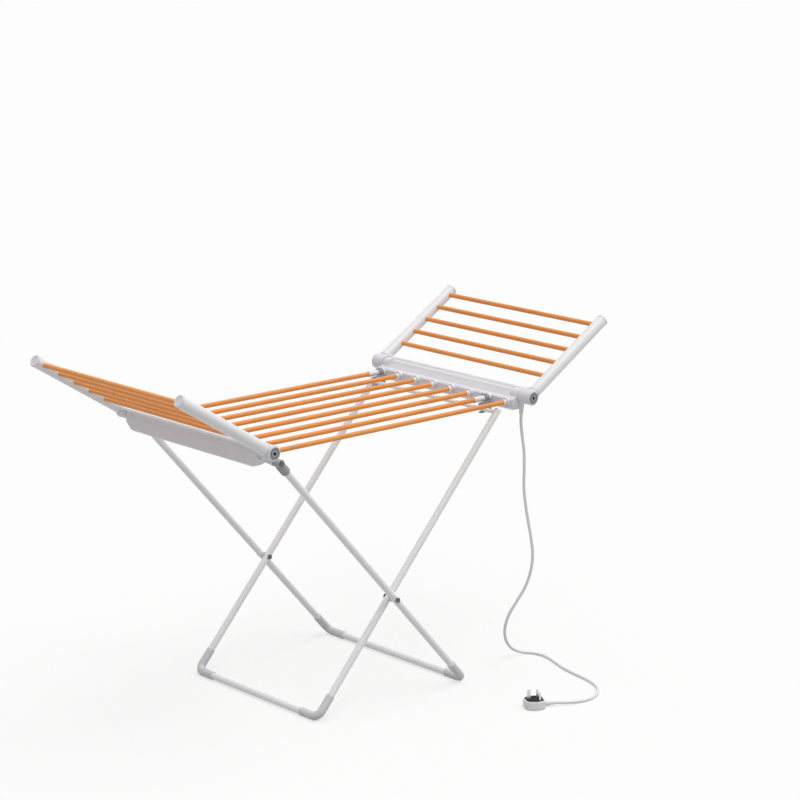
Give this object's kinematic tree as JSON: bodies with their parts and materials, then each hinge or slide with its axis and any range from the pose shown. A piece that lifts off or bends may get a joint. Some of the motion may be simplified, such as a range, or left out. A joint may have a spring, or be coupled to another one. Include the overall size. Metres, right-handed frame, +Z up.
{
  "type": "heated clothes airer",
  "caption": "Free-standing heated clothes airer: a deck of heated bars between two housings, two folding wings and crossed folding leg frames.",
  "frame": {"origin": "on the floor under the middle of the deck", "axes": "+X along the deck to the mains-lead end, +Y to the far side, +Z up"},
  "size_m": [1.2484, 0.7915, 0.8048],
  "materials": {
    "heated_bar": "orange powder coat, satin",
    "housing": "fine moulded texture",
    "arm": "white satin coat",
    "ferrule": "gloss",
    "clip": "moulded",
    "screw": "moulded cap over a steel shoulder screw",
    "pin": "zinc plated",
    "knuckle_grip": "ridged moulding",
    "lead": "smooth PVC",
    "plug_pin": "bright plated",
    "foot": "moulded",
    "leg_tube": "white gloss coat",
    "heating_cable": "silicone sleeve",
    "wiring": "bundled wires"
  },
  "bodies": {
    "deck": {"left_housing_base": "housing", "left_housing_cover": "housing", "right_housing_base": "housing", "right_housing_cover": "housing", "deck_bar_1": "heated_bar", "deck_bar_2": "heated_bar", "deck_bar_3": "heated_bar", "deck_bar_4": "heated_bar", "deck_bar_5": "heated_bar", "deck_bar_6": "heated_bar", "deck_bar_7": "heated_bar", "deck_bar_8": "heated_bar", "left_ferrules": "ferrule", "right_ferrules": "ferrule", "leg_clips": "clip", "leg_pivot_pins": "pin", "hinge_screws": "screw", "cord_gland": "lead", "cord": "lead", "plug_body": "lead", "plug_pins": "plug_pin", "left_wiring": "wiring", "right_wiring": "wiring", "deck_heaters": "heating_cable"},
    "left_wing": {"left_arm_near": "arm", "left_arm_far": "arm", "left_knuckles": "housing", "left_tip_caps": "housing", "left_wing_bar_1": "heated_bar", "left_wing_bar_2": "heated_bar", "left_wing_bar_3": "heated_bar", "left_wing_bar_4": "heated_bar", "left_wing_bar_5": "heated_bar", "left_stay_bar": "arm", "left_wing_heaters": "heating_cable"},
    "right_wing": {"right_arm_near": "arm", "right_arm_far": "arm", "right_knuckles": "housing", "right_tip_caps": "housing", "right_wing_bar_1": "heated_bar", "right_wing_bar_2": "heated_bar", "right_wing_bar_3": "heated_bar", "right_wing_bar_4": "heated_bar", "right_wing_bar_5": "heated_bar", "right_stay_bar": "arm", "right_wing_heaters": "heating_cable"},
    "outer_legs": {"outer_leg_near": "leg_tube", "outer_leg_far": "leg_tube", "outer_floor_bar": "leg_tube", "outer_feet": "foot", "outer_knuckles": "knuckle_grip", "cross_rivets": "pin", "cross_spacers": "foot"},
    "inner_legs": {"inner_leg_near": "leg_tube", "inner_leg_far": "leg_tube", "inner_floor_bar": "leg_tube", "inner_feet": "foot", "inner_top_rod": "leg_tube", "inner_top_caps": "leg_tube"}
  },
  "joints": [
    {"name": "left_wing_hinge", "type": "hinge", "parent": "deck", "child": "left_wing", "pos_m": [-0.38, 0, 0.645], "axis": [0, 1, 0], "range_deg": [-32, 144]},
    {"name": "right_wing_hinge", "type": "hinge", "parent": "deck", "child": "right_wing", "pos_m": [0.38, 0, 0.645], "axis": [0, -1, 0], "range_deg": [-32, 144]},
    {"name": "outer_leg_fold", "type": "hinge", "parent": "deck", "child": "outer_legs", "pos_m": [-0.3435, 0, 0.612], "axis": [0, 1, 0], "range_deg": [0, 38]},
    {"name": "inner_leg_fold", "type": "hinge", "parent": "outer_legs", "child": "inner_legs", "pos_m": [-0.013, 0, 0.24191], "axis": [0, 1, 0], "range_deg": [-76, 0]}
  ],
  "couplings": [
    {"joint": "inner_leg_fold", "follows": "outer_leg_fold", "ratio": -2}
  ]
}
